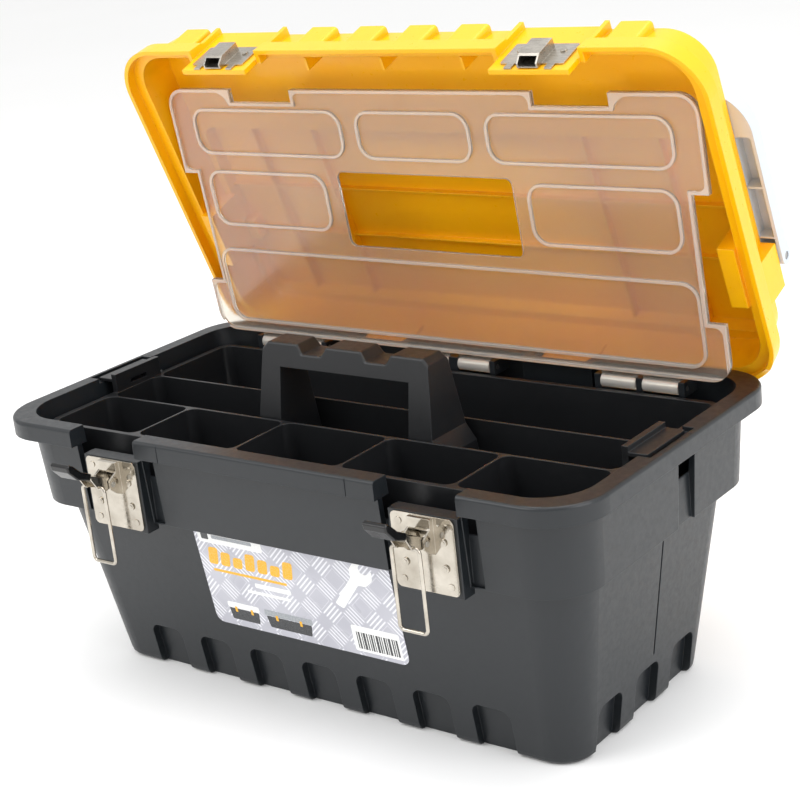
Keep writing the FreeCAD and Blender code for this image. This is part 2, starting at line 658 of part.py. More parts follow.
def buildCover():
    body = newBody("organiser_cover")
    under, top = dim.coverUp + 0.8 - dim.coverSkin, dim.coverUp + 0.8
    low = under - dim.coverLip
    front = -97.5
    outline = newSketch(body, "CoverOutline", offset=(0, 0, low))
    roundedRect(outline, (-dim.coverHalf, front), (dim.coverHalf, 88.4), 14)
    pad(body, "CoverSlab", outline, dim.coverSkin + dim.coverLip)
    for side, sign in sides:
        start, stop = (199, 215) if sign > 0 else (-215, -199)
        brick(body, "EarNotch" + side, (start, -35, low - 1), (stop, 49, top + 1), cut=True)
        left, right = span(dim.latchPlace * sign, dim.notchHalf - 1)
        brick(body, "FrontNotch" + side, (left, front - 1, low - 1), (right, front + 9.4, top + 1), cut=True)
    # hollow the underside so that only the edge lip stays
    hollows = [
        ("Middle", (-196.8, -86), (196.8, 86.2)),
        ("FrontTab", (-208.8, -86), (208.8, -37.2)),
        ("BackTab", (-208.8, 51.2), (208.8, 86.2)),
        ("FrontStrip", (-94.3, -95.3), (94.3, -80)),
        ("CornerLeft", (-208.8, -95.3), (-153.4, -70)),
        ("CornerRight", (153.4, -95.3), (208.8, -70)),
    ]
    for name, near, far in hollows:
        sketch = newSketch(body, "Hollow" + name, offset=(0, 0, low))
        roundedRect(sketch, near, far, 12 if name.startswith("Corner") else 5)
        pocket(body, "Clear" + name, sketch, dim.coverLip, away=True)
    window = newSketch(body, "HandleWindow", offset=(0, 0, low - 2))
    roundedRect(window, (-71, -39.5), (71, 14.5), 5)
    pocket(body, "HandleWindowCut", window, 8, away=True)
    # raised outlines that sit over the tray's compartments
    for index, ((left, near), (right, far)) in enumerate(coverCells):
        ring = newSketch(body, f"Cell{index}", offset=(0, 0, under))
        roundedRect(ring, (left, dim.coverBack - far), (right, dim.coverBack - near), 12)
        roundedRect(ring, (left + 2, dim.coverBack - far + 2), (right - 2, dim.coverBack - near - 2), 10)
        pad(body, f"CellRidge{index}", ring, 1.8, away=True)
    for index, (left, right) in enumerate(coverBarrels):
        brick(body, f"BarrelWeb{index}", (left, 86, under), (right, 94, top))
        bar(body, f"Barrel{index}", left, right, dim.coverBack, dim.coverUp, 4.8)
        bar(body, f"BarrelBore{index}", left - 0.4, right + 0.4, dim.coverBack, dim.coverUp,
            dim.coverPinRadius + dim.runningFit, cut=True)
    body.Placement = coverTurn.multiply(body.Placement)


# ---- tray


def buildTray():
    body = newBody("tray")
    front, back = -94, 88.3
    taperedBlock(
        body, "TrayOuter",
        ((-dim.trayHalf + 3, front + 1.5), (dim.trayHalf - 3, back - 2), 8, dim.trayFloor),
        ((-dim.trayHalf, front), (dim.trayHalf, back), 10, dim.trayTop),
    )
    inside = dim.trayHalf - 4.8
    low = dim.trayFloor + 2
    rows = [(front + 3.2, -37.2), (-35.6, 9.4), (11.0, back - 3.8)]
    half = dim.trayWall / 2
    walls = [-inside] + [dim.dividerPitch * (step + 0.5) for step in range(-2, 2)] + [inside]
    deep = dim.trayTop - low + 1
    for row, (near, far) in enumerate(rows):
        cells = list(zip(walls, walls[1:])) if row == 0 else [(-inside, inside)]
        sketch = newSketch(body, f"Row{row}", offset=(0, 0, low))
        for left, right in cells:
            left = left + half if left is not walls[0] and row == 0 else left
            right = right - half if right is not walls[-1] and row == 0 else right
            roundedRect(sketch, (left, near), (right, far), 7)
        pocket(body, f"Compartments{row}", sketch, deep, away=True)
    for side, sign in sides:
        start, stop = (203.5, 207.6) if sign > 0 else (-207.6, -203.5)
        brick(body, "Ear" + side, (start, -30, 168), (stop, 14, dim.rimHeight + 3))
        start, stop = (207, 220) if sign > 0 else (-220, -207)
        brick(body, "EarHook" + side, (start, -30, dim.rimHeight - 2.6), (stop, 14, dim.rimHeight - 0.4))
        start, stop = (200, 210) if sign > 0 else (-210, -200)
        brick(body, "EarSlot" + side, (start, -16, 178), (stop, 0, 181), cut=True)

    handle = newBody("tray_handle")
    foot, top = low + 0.2, 223.5
    outline = newSketch(handle, "ArchOutline", "XZ_Plane", (0, 0, -9.2))
    right = [(76, foot), (76, 163), (70, 174), (68.5, 196), (66.5, top - 4), (62.5, top), (38, top), (34, top - 6)]
    inner = [(18, top - 6), (14, top)]
    left = [(-x, z) for x, z in reversed(right + inner)]
    legInner = [(-52, foot), (-52, 208), (52, 208), (52, foot)]
    polygon(outline, right + inner + left + legInner)
    pad(handle, "Arch", outline, 44.4)
    # the bar is narrower at the top than at the foot
    for name, y, lean in (("Front", -35.2, 10), ("Back", 9.2, -10)):
        outside = y - 12 if lean > 0 else y + 12
        edges = lambda reach: (min(outside, y + reach), max(outside, y + reach))
        sketches = []
        for label, z, reach in (("Low", 150, 0), ("High", 230, lean * 1.35)):
            sketch = newSketch(handle, f"Lean{name}{label}", offset=(0, 0, z))
            near, far = edges(reach)
            polygon(sketch, [(-80, near), (80, near), (80, far), (-80, far)])
            sketches.append(sketch)
        loft(handle, "Lean" + name, sketches, cut=True)
    roundEdges(handle, "ArchRound", 1.8, lambda edge: edge.BoundBox.ZMin > 216)


# ---- pins, latches, strikes and label


def pinAlongX(name, start, end, y, z, radius):
    pin = doc.addObject("Part::Cylinder", name)
    pin.Label = name
    bind(pin, "Radius", radius)
    bind(pin, "Height", sized(end) - sized(start))
    pin.Placement = FreeCAD.Placement(
        FreeCAD.Vector(sized(start).value, sized(y).value, sized(z).value),
        FreeCAD.Rotation(FreeCAD.Vector(0, 1, 0), 90),
    )
    nodes.append(pin)
    return pin


def buildPins():
    for side, sign in sides:
        left, right = span(dim.hingePlace * sign, 25.5)
        pinAlongX("lid_hinge_pin_" + side.lower(), left, right, dim.hingeBack, dim.hingeUp, dim.pinRadius)
        start, end = (205, 228.4) if sign > 0 else (-228.4, -205)
        swingWithLid(pinAlongX("handle_pin_" + side.lower(), start, end, dim.handlePivotBack, handlePivotUp, 2.5))
    for name, (start, end) in zip(("left", "middle", "right"), coverPins):
        pinAlongX("cover_pin_" + name, start + 0.2, end - 0.2, dim.coverBack, dim.coverUp, dim.coverPinRadius)


# One toggle latch: plate with bracket ears, lever with grip, pivot pin, wire bail and rivets.
def buildLatch(side, sign):
    suffix = "_" + side.lower()
    middle = dim.latchPlace * sign
    face = -dim.plateFace
    pivotY = face - dim.pivotOut
    plate = newBody("latch_plate" + suffix)
    outline = newSketch(plate, "PlateOutline", "XZ_Plane", (0, 0, dim.plateFace - dim.sheetThick))
    left, right = span(middle, 22)
    roundedRect(outline, (left, 120.5), (right, 167.5), 3.5)
    pad(plate, "PlateSheet", outline, dim.sheetThick)
    # pressed channel above the pivot, and the two ears that hold it
    left, right = span(middle, 8)
    brick(plate, "Channel", (left, face - 3.2, 160), (right, face + 0.3, 167))
    for name, offset in (("Left", -8), ("Right", 6.8)):
        ear = newSketch(plate, "EarOutline" + name, "YZ_Plane", (0, 0, middle + offset))
        polygon(ear, [(face + 0.5, 144.5), (face - 5, 147), (pivotY - 3, 151.4), (pivotY - 3, 157), (face + 0.5, 163)])
        pad(plate, "Ear" + name, ear, 1.2)
    bar(plate, "PivotBore", middle - 10, middle + 10, pivotY, dim.pivotUp, 1.6 + 0.03, cut=True)
    for index, (x, z) in enumerate(((-16.5, 126), (16.5, 126), (16.5, 162), (-16.5, 162))):
        dimple = newFeature(plate, "AdditiveCylinder", f"Dimple{index}")
        attach(dimple, plate, "XZ_Plane", (middle + x, z, dim.plateFace - 0.4))
        dimple.Radius, dimple.Height = 2.2, 0.9

    pinAlongX("latch_pin" + suffix, middle - 8.4, middle + 8.4, pivotY, dim.pivotUp, 1.6)

    lever = newBody("latch_lever" + suffix)
    web = dim.pivotUp + 2.6
    tip = pivotY - dim.leverLong
    left, right = span(middle, 6.4)
    brick(lever, "Web", (left, tip + 12, web), (right, pivotY - 4.2, web + 1.1))
    for name, start in (("Left", left), ("Right", right - 1.1)):
        cheek = newSketch(lever, "CheekOutline" + name, "YZ_Plane", (0, 0, start))
        polygon(cheek, [(pivotY + 2.9, dim.pivotUp - 2.4), (pivotY + 2.9, dim.pivotUp + 2.6),
                        (pivotY, web + 1), (tip + 22.3, web + 1), (tip + 24, web - 1.6),
                        (pivotY - 11, dim.pivotUp - 4), (pivotY - 4, dim.pivotUp - 4)])
        pad(lever, "Cheek" + name, cheek, 1.1)
    bar(lever, "PivotBore", left - 1, right + 1, pivotY, dim.pivotUp, 1.6 + dim.runningFit, cut=True)
    bar(lever, "BailBore", left - 1, right + 1, eyeLocal[0], eyeLocal[1], dim.wireRadius + dim.runningFit, cut=True)
    turn = FreeCAD.Placement(
        FreeCAD.Vector(0, 0, 0),
        FreeCAD.Rotation(FreeCAD.Vector(1, 0, 0), -dim.leverUp.value),
        FreeCAD.Vector(0, sized(pivotY).value, dim.pivotUp.value),
    )
    lever.Placement = turn

    grip = newBody("lever_grip" + suffix)
    left, right = span(middle, 8.1)
    curl = newSketch(grip, "CurlOutline", "YZ_Plane", (0, 0, left))
    polygon(curl, [
        (tip + 22, web - 1.6), (tip + 22, web + 2.7), (tip + 13, web + 3.3), (tip + 5, web + 6.3),
        (tip + 1.5, web + 6.8), (tip, web + 4.6), (tip + 2.2, web + 1.6), (tip + 11, web - 2.2),
    ])
    pad(grip, "Curl", curl, right - left)
    roundEdges(grip, "CurlSoft", 1.1, lambda edge: True)
    brick(grip, "LeverSlot", (middle - 6.43, tip + 11.97, web - 0.02), (middle + 6.43, tip + 25, web + 1.12), cut=True)
    grip.Placement = turn

    buildBail(suffix, middle)

    rivets = doc.addObject("Part::Feature", "latch_rivets" + suffix)
    rivets.Label = "latch_rivets" + suffix
    heads = []
    for x in (-14, 14):
        for z in (137, 153):
            head = Part.makeCylinder(2.4, 0.9, FreeCAD.Vector(middle.value + x, -dim.plateFace.value, z),
                                     FreeCAD.Vector(0, -1, 0))
            shank = Part.makeCylinder(1.2, 1.2, FreeCAD.Vector(middle.value + x, -dim.plateFace.value + 0.0, z),
                                      FreeCAD.Vector(0, -1, 0))
            heads.append(head.fuse(shank).removeSplitter())
    rivets.Shape = Part.Compound(heads)
    nodes.append(rivets)


# Where the bail's eye sits, out from the middle and up, with the lever standing open.
openAngle = math.radians(5)
bailEye = (
    dim.plateFace.value + dim.pivotOut.value + dim.bailReach.value * math.cos(openAngle),
    dim.pivotUp.value + dim.bailReach.value * math.sin(openAngle),
)
levelAngle = openAngle - math.radians(dim.leverUp.value)
eyeLocal = (
    -(dim.plateFace.value + dim.pivotOut.value + dim.bailReach.value * math.cos(levelAngle)),
    dim.pivotUp.value + dim.bailReach.value * math.sin(levelAngle),
)


# Wire loop: a path of straight runs and tangent arcs, swept by the wire's circle.
def buildBail(suffix, middle):
    radius = dim.wireRadius.value
    half, long, bend = dim.bailHalf.value, dim.bailLong.value, 3.0
    x, y, z = middle.value, -bailEye[0], bailEye[1]
    ends = 5.0
    corners = [(-ends, 0), (-half, 0), (-half, -long), (half, -long), (half, 0), (ends, 0)]
    path = bentPath([FreeCAD.Vector(x + a, y, z + b) for a, b in corners], bend)
    bail = doc.addObject("Part::Feature", "latch_bail" + suffix)
    bail.Label = "latch_bail" + suffix
    circle = Part.Wire(Part.makeCircle(radius, FreeCAD.Vector(x - ends, y, z), FreeCAD.Vector(1, 0, 0)))
    bail.Shape = path.makePipeShell([circle], True, True)
    nodes.append(bail)


def bentPath(points, bend):
    edges = []
    start = points[0]
    for before, corner, after in zip(points, points[1:], points[2:]):
        back, ahead = (before - corner).normalize(), (after - corner).normalize()
        enter, leave = corner + back * bend, corner + ahead * bend
        middle = corner + (back + ahead) * bend * (1 - math.sqrt(0.5))
        edges += [Part.LineSegment(start, enter).toShape(), Part.Arc(enter, middle, leave).toShape()]
        start = leave
    edges.append(Part.LineSegment(start, points[-1]).toShape())
    return Part.Wire(edges)


# Steel strike on the lid's front tab: a plate, a raised hook box and two bent legs.
def buildStrike(side, sign):
    suffix = "_" + side.lower()
    middle = dim.latchPlace * sign
    back = 117.02
    strike = newBody("strike" + suffix)
    low, high = lidBase - 8, lidBase + 14
    outline = newSketch(strike, "StrikeOutline", "XZ_Plane", (0, 0, back))
    left, right = span(middle, 22)
    roundedRect(outline, (left, low), (right, high), 1.2)
    pad(strike, "StrikeSheet", outline, dim.sheetThick)
    left, right = span(middle, 7.2)
    box = newSketch(strike, "HookOutline", "YZ_Plane", (0, 0, left))
    face = -(back + dim.sheetThick)
    hookTop = dim.pivotUp + 40.6
    polygon(box, [(face + 0.5, low - 4.6), (face - 2.5, low - 4.6), (face - 6.2, low + 1), (face - 6.6, hookTop),
                  (face + 0.5, hookTop)])
    pad(strike, "Hook", box, right - left)
    brick(strike, "HookHollow", (left + 1.2, face - 5.2, low - 8), (right - 1.2, face - 0.3, hookTop - 1.4), cut=True)
    for name, x in (("Left", -16.5), ("Right", 11.5)):
        brick(strike, "Leg" + name, (middle + x, -back - dim.sheetThick, low - 5), (middle + x + 5, -back, low + 1))
    swingWithLid(strike)

    rivets = doc.addObject("Part::Feature", "strike_rivets" + suffix)
    rivets.Label = "strike_rivets" + suffix
    heads = []
    for x in (-15, 15):
        spot = FreeCAD.Vector(middle.value + x, face.value, lidBase.value + 6)
        heads.append(Part.makeCylinder(2.2, 0.9, spot, FreeCAD.Vector(0, -1, 0)))
    rivets.Shape = Part.Compound(heads)
    swingWithLid(rivets)
    nodes.append(rivets)


# Printed label on the sloping front wall, tucked up under the band.
def buildLabel():
    body = newBody("label")
    slope = math.atan((dim.waistHalfDepth.value - dim.footHalfDepth.value) / dim.bandBottom.value)
    sketch = newSketch(body, "LabelOutline", "XZ_Plane", (0, 0, dim.footHalfDepth + 0.03), math.degrees(slope))
    bottom, top = 49 / math.cos(slope), 123.4 / math.cos(slope)
    roundedRect(sketch, (-79, bottom), (79, top), 6)
    pad(body, "LabelSheet", sketch, 0.35)


buildTub()
buildLid()
buildHandle()
buildCover()
buildTray()
buildPins()
for side, sign in sides:
    buildLatch(side, sign)
    buildStrike(side, sign)
buildLabel()
doc.recompute()

failed = [thing.Name for thing in doc.Objects if "Invalid" in thing.State or "Error" in thing.State]
if failed:
    raise RuntimeError(f"these did not build: {failed}")
for node in nodes:
    shape = node.Shape
    if shape.isNull() or not shape.isValid():
        raise RuntimeError(f"{node.Label} has no valid shape")
    count = len(shape.Solids)
    print(f"{node.Label}: {count} solid(s), {shape.Volume / 1000:.1f} cm3")
    shape.exportStep(f"parts/{node.Label}.step")
print(f"{len(nodes)} nodes")
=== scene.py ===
import math

import bmesh
import bpy
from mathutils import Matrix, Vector


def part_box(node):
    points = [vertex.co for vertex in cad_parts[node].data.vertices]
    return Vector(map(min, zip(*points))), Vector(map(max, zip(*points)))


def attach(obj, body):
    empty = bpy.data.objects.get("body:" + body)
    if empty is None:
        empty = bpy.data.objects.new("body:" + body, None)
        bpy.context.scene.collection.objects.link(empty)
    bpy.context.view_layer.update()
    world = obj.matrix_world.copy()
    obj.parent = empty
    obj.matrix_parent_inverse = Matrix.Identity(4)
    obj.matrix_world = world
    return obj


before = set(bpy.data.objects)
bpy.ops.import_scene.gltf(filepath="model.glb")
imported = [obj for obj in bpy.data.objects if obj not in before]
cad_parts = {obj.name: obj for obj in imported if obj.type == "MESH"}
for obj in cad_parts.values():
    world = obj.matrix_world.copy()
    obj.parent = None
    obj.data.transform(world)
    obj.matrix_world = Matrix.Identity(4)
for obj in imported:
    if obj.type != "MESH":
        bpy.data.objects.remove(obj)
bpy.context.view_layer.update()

print("frame loaded,", len(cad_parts), "nodes")

# camera and studio
studio = {
    "cameraPlace": (0.7097, -0.8599, 0.5465),
    "cameraTurn": (1.25167, 0.10553, 0.63858),   # radians, XYZ
    "lens": 81.6,
    "floorColour": "#fbfbfa",
    "worldColour": "#ffffff",
    "worldStrength": 0.95,
}


def toLinear(colour):
    channels = [int(colour[i:i + 2], 16) / 255 for i in (1, 3, 5)]
    return [c / 12.92 if c <= 0.04045 else ((c + 0.055) / 1.055) ** 2.4 for c in channels] + [1.0]


# adds a node, sets its attributes and input values, and links inputs to (node, output)
def addNode(tree, kind, settings=None, values=None, links=None):
    node = tree.nodes.new("ShaderNode" + kind)
    for key, value in (settings or {}).items():
        setattr(node, key, value)
    for key, value in (values or {}).items():
        node.inputs[key].default_value = value
    for key, (source, output) in (links or {}).items():
        tree.links.new(source.outputs[output], node.inputs[key])
    return node


def newMaterial(name):
    material = bpy.data.materials.new(name)
    material.use_nodes = True
    material.node_tree.nodes.clear()
    return material, material.node_tree


def closeMaterial(tree, shader):
    addNode(tree, "OutputMaterial", links={"Surface": (shader, 0)})


def addLight(name, place, target, size, power, colour):
    data = bpy.data.lights.new(name, "AREA")
    data.shape = "RECTANGLE"
    data.size, data.size_y = size
    data.energy = power
    data.color = toLinear(colour)[:3]
    lamp = bpy.data.objects.new(name, data)
    lamp.location = place
    lamp.rotation_euler = (Vector(target) - Vector(place)).to_track_quat("-Z", "Y").to_euler()
    bpy.context.collection.objects.link(lamp)


def makeStudio():
    cameraData = bpy.data.cameras.new("studio_camera")
    cameraData.lens = studio["lens"]
    cameraData.sensor_width = 36
    camera = bpy.data.objects.new("studio_camera", cameraData)
    camera.location = studio["cameraPlace"]
    camera.rotation_euler = studio["cameraTurn"]
    bpy.context.collection.objects.link(camera)
    bpy.context.scene.camera = camera
    bpy.context.scene.view_settings.view_transform = "Standard"   # plain colours, no film curve

    addLight("key_light", (-0.7, -1.3, 1.5), (0, 0, 0.15), (1.1, 1.1), 14, "#ffffff")
    addLight("side_light", (1.6, -0.1, 1.0), (0, 0, 0.15), (1.0, 1.4), 14, "#fdfdff")
    addLight("top_light", (0.1, 0.3, 1.9), (0, 0.05, 0.1), (1.6, 1.2), 14, "#ffffff")

    world = bpy.data.worlds.new("studio_world")
    world.use_nodes = True
    bpy.context.scene.world = world
    background = world.node_tree.nodes["Background"]
    background.inputs[0].default_value = toLinear(studio["worldColour"])
    background.inputs[1].default_value = studio["worldStrength"]

    mesh = bpy.data.meshes.new("studio_floor")
    mesh.from_pydata([(-6, -6, 0), (6, -6, 0), (6, 6, 0), (-6, 6, 0)], [], [(0, 1, 2, 3)])
    floor = bpy.data.objects.new("studio_floor", mesh)
    floor.location.z = -0.0004
    bpy.context.collection.objects.link(floor)
    material, tree = newMaterial("painted_matt_floor")
    place = addNode(tree, "TexCoord")
    cloud = addNode(tree, "TexNoise", values={"Scale": 1.5, "Detail": 2.0}, links={"Vector": (place, "Object")})
    tone = addNode(tree, "Mix", {"data_type": "RGBA"},
                   {6: toLinear(studio["floorColour"]), 7: toLinear("#ffffff")}, {0: (cloud, 0)})
    shader = addNode(tree, "BsdfPrincipled", values={"Roughness": 0.7}, links={"Base Color": (tone, 2)})
    closeMaterial(tree, shader)
    mesh.materials.append(material)


makeStudio()
print("studio ready")

# moulded plastics: size values in millimetres
plastics = {
    # polypropylene with a spark-eroded grain: satin, scuffs lighter on its edges
    "anthracite_polypropylene_satin_moulded": {
        "colour": "#1a1e22", "shade": "#14181b", "grainSize": 0.9, "grainDepth": 0.05,
        "roughness": (0.30, 0.44), "edgeSoft": 0.7, "edgeColour": "#2d3238", "bleed": 0.0,
    },
    # the tray's finer grain: the same resin, a little blacker and smoother
    "black_polypropylene_satin_moulded": {
        "colour": "#1b1c1e", "shade": "#141517", "grainSize": 0.8, "grainDepth": 0.04,
        "roughness": (0.30, 0.44), "edgeSoft": 0.7, "edgeColour": "#3a3d41", "bleed": 0.0,
    },
    # yellow polypropylene from a polished mould: warm, waxy, light carries inside it
    "yellow_polypropylene_gloss_moulded": {
        "colour": "#ffc000", "shade": "#ffb200", "grainSize": 2.2, "grainDepth": 0.03,
        "roughness": (0.26, 0.38), "edgeSoft": 0.8, "edgeColour": "#ffd040", "bleed": 0.12,
    },
    # pale grey polypropylene of the carry handle: soft gloss
    "light_grey_polypropylene_gloss_moulded": {
        "colour": "#cdd4db", "shade": "#bfc7cf", "grainSize": 1.2, "grainDepth": 0.03,
        "roughness": (0.34, 0.46), "edgeSoft": 0.7, "edgeColour": "#e4e9ee", "bleed": 0.0,
    },
    # thermoplastic rubber pad: matt and finely pebbled
    "black_thermoplastic_rubber_matt": {
        "colour": "#1b1c1e", "shade": "#151617", "grainSize": 1.0, "grainDepth": 0.12,
        "roughness": (0.62, 0.78), "edgeSoft": 0.6, "edgeColour": "#242628", "bleed": 0.0,
    },
    # dipped vinyl: thick, wet-looking, slightly uneven where it ran
    "black_vinyl_hot_dipped": {
        "colour": "#0c0c0d", "shade": "#080809", "grainSize": 5.0, "grainDepth": 0.16,
        "roughness": (0.12, 0.24), "edgeSoft": 0.9, "edgeColour": "#131314", "bleed": 0.0,
    },
}


def surfaceBase(tree, edgeSoft):
    place = addNode(tree, "TexCoord")
    edge = addNode(tree, "Bevel", {"samples": 4}, {"Radius": edgeSoft / 1000})
    return place, edge


# 1 on sharp edges and 0 on flats, from how far the softened normal leaves the true one
def edgeMask(tree, edge):
    true = addNode(tree, "NewGeometry")
    match = addNode(tree, "VectorMath", {"operation": "DOT_PRODUCT"},
                    links={0: (edge, 0), 1: (true, "Normal")})
    return addNode(tree, "MapRange", values={1: 0.995, 2: 0.85, 3: 0.0, 4: 1.0}, links={0: (match, "Value")})


def mouldedPlastic(name, look):
    material, tree = newMaterial(name)
    place, edge = surfaceBase(tree, look["edgeSoft"])
    cloud = addNode(tree, "TexNoise", values={"Scale": 14.0, "Detail": 4.0, "Roughness": 0.6},
                    links={"Vector": (place, "Object")})
    grain = addNode(tree, "TexNoise", values={"Scale": 1000 / look["grainSize"], "Detail": 3.0},
                    links={"Vector": (place, "Object")})
    scuff = addNode(tree, "TexNoise", values={"Scale": 220.0, "Detail": 5.0, "Roughness": 0.7},
                    links={"Vector": (place, "Object")})
    tone = addNode(tree, "Mix", {"data_type": "RGBA"},
                   {6: toLinear(look["colour"]), 7: toLinear(look["shade"])}, {0: (cloud, 0)})
    mask = edgeMask(tree, edge)
    worn = addNode(tree, "Math", {"operation": "MULTIPLY"}, links={0: (mask, 0), 1: (scuff, 0)})
    colour = addNode(tree, "Mix", {"data_type": "RGBA"}, {7: toLinear(look["edgeColour"])},
                     {0: (worn, 0), 6: (tone, 2)})
    low, high = look["roughness"]
    rough = addNode(tree, "MapRange", values={1: 0.3, 2: 0.7, 3: low, 4: high}, links={0: (scuff, 0)})
    bump = addNode(tree, "Bump", values={"Strength": 0.5, "Distance": look["grainDepth"] / 1000},
                   links={"Height": (grain, 0), "Normal": (edge, 0)})
    shader = addNode(
        tree, "BsdfPrincipled",
        values={"IOR": 1.49, "Subsurface Weight": look["bleed"], "Subsurface Scale": 0.004,
                "Subsurface Radius": (1.0, 0.6, 0.25)},
        links={"Base Color": (colour, 2), "Roughness": (rough, 0), "Normal": (bump, 0)})
    closeMaterial(tree, shader)
    return material


# plated and drawn steel: the rolling or drawing marks always run along x
# each steel's shade colour is painted reflection: darker blotches that stand in for the dark surroundings plated
# metal mirrors
steels = {
    # bright nickel over pressed sheet: mirror-like with hairline scratches, warm tint
    "bright_nickel_plated_pressed_steel": {
        "colour": "#d6d0c5", "shade": "#8f877a", "roughness": (0.07, 0.18), "markLength": 14.0,
        "markWidth": 0.5, "depth": 0.02, "edgeSoft": 0.35,
    },
    # satin nickel: softer, slightly greyer reflections
    "satin_nickel_plated_pressed_steel": {
        "colour": "#c9c4ba", "shade": "#989188", "roughness": (0.22, 0.38), "markLength": 9.0,
        "markWidth": 0.5, "depth": 0.03, "edgeSoft": 0.35,
    },
    # drawn wire: fine lengthwise lines
    "drawn_steel_wire": {
        "colour": "#c4c3c0", "shade": "#a3a19d", "roughness": (0.24, 0.40), "markLength": 20.0,
        "markWidth": 0.4, "depth": 0.02, "edgeSoft": 0.3,
    },
}


def platedSteel(name, look):
    material, tree = newMaterial(name)
    place, edge = surfaceBase(tree, look["edgeSoft"])
    stretched = addNode(
        tree, "Mapping",
        values={"Scale": (1000 / look["markLength"], 1000 / look["markWidth"], 1000 / look["markWidth"])},
        links={"Vector": (place, "Object")})
    marks = addNode(tree, "TexNoise", values={"Scale": 1.0, "Detail": 4.0}, links={"Vector": (stretched, 0)})
    # painted reflection: noise blotches darken the plating towards its shade colour, in place of mirrored dark
    # surroundings
    paintedReflectionBlotches = addNode(tree, "TexNoise", values={"Scale": 90.0, "Detail": 3.0}, links={"Vector": (place, "Object")})
    tone = addNode(tree, "Mix", {"data_type": "RGBA"},
                   {6: toLinear(look["colour"]), 7: toLinear(look["shade"])}, {0: (paintedReflectionBlotches, 0)})
    low, high = look["roughness"]
    rough = addNode(tree, "MapRange", values={1: 0.3, 2: 0.7, 3: low, 4: high}, links={0: (marks, 0)})
    bump = addNode(tree, "Bump", values={"Strength": 0.4, "Distance": look["depth"] / 1000},
                   links={"Height": (marks, 0), "Normal": (edge, 0)})
    shader = addNode(tree, "BsdfPrincipled", values={"Metallic": 1.0},
                     links={"Base Color": (tone, 2), "Roughness": (rough, 0), "Normal": (bump, 0)})
    closeMaterial(tree, shader)
    return material


# natural polypropylene sheet: nearly clear but hazy, so what lies behind is seen softly, with milkier raised lines
# and edges, partly the real haze of the thicker sheet and partly a painted highlight; heights are measured from the
# sheet's inner face
cover = {
    "colour": "#fff8e8", "milk": "#f3efe8", "haze": (0.08, 0.16), "through": 0.95, "ior": 1.45,
    "flowSize": 60.0, "rippleDepth": 0.25,
    "hinge": (0.0965, 0.1785), "open": 82.35, "innerFace": -0.0012,
}


def milkyPolypropylene():
    material, tree = newMaterial("natural_polypropylene_hazy_moulded")
    place, edge = surfaceBase(tree, 0.6)
    flow = addNode(tree, "TexNoise", values={"Scale": 1000 / cover["flowSize"], "Detail": 3.0},
                   links={"Vector": (place, "Object")})
    low, high = cover["haze"]
    rough = addNode(tree, "MapRange", values={1: 0.3, 2: 0.7, 3: low, 4: high}, links={0: (flow, 0)})
    # the cover's own level, found by turning the open cover back down about its hinge
    turn = math.radians(cover["open"])
    hingeY, hingeZ = cover["hinge"]
    normal = (0.0, math.sin(turn), math.cos(turn))
    rise = addNode(tree, "VectorMath", {"operation": "DOT_PRODUCT"}, {1: normal}, {0: (place, "Object")})
    base = hingeY * normal[1] + hingeZ * normal[2] + cover["innerFace"]
    raised = addNode(tree, "MapRange", values={1: base - 0.0012, 2: base - 0.0003, 3: 1.0, 4: 0.0},
                     links={0: (rise, "Value")})
    # raised lines and edges take more milk: the thicker sheet's own haze plus a painted highlight for their bright
    # glints
    thickMilkAndPaintedHighlight = addNode(tree, "Math", {"operation": "MAXIMUM"},
                       links={0: (raised, 0), 1: (edgeMask(tree, edge), 0)})
    tone = addNode(tree, "Mix", {"data_type": "RGBA"},
                   {6: toLinear(cover["colour"]), 7: toLinear("#f4ede4")}, {0: (flow, 0)})
    bump = addNode(tree, "Bump", values={"Strength": 0.3, "Distance": cover["rippleDepth"] / 1000},
                   links={"Height": (flow, 0), "Normal": (edge, 0)})
    clear = addNode(
        tree, "BsdfPrincipled",
        values={"Transmission Weight": cover["through"], "IOR": cover["ior"]},
        links={"Base Color": (tone, 2), "Roughness": (rough, 0), "Normal": (bump, 0)})
    milk = addNode(
        tree, "BsdfPrincipled",
        values={"Base Color": toLinear(cover["milk"]), "IOR": cover["ior"], "Roughness": 0.25},
        links={"Normal": (bump, 0)})
    share = addNode(tree, "MapRange", values={3: 0.06, 4: 0.38}, links={0: (thickMilkAndPaintedHighlight, 0)})
    shader = addNode(tree, "MixShader", links={0: (share, 0), 1: (clear, 0), 2: (milk, 0)})
    closeMaterial(tree, shader)
    return material


# printed film: a pale picture of tread plate, whose groups of bars turn alternately
film = {"pitch": 17.0, "barsInGroup": 4.5, "light": "#e9e9ee", "dark": "#a3a3ad", "ground": "#c6c6ce", "slope": 8.8}


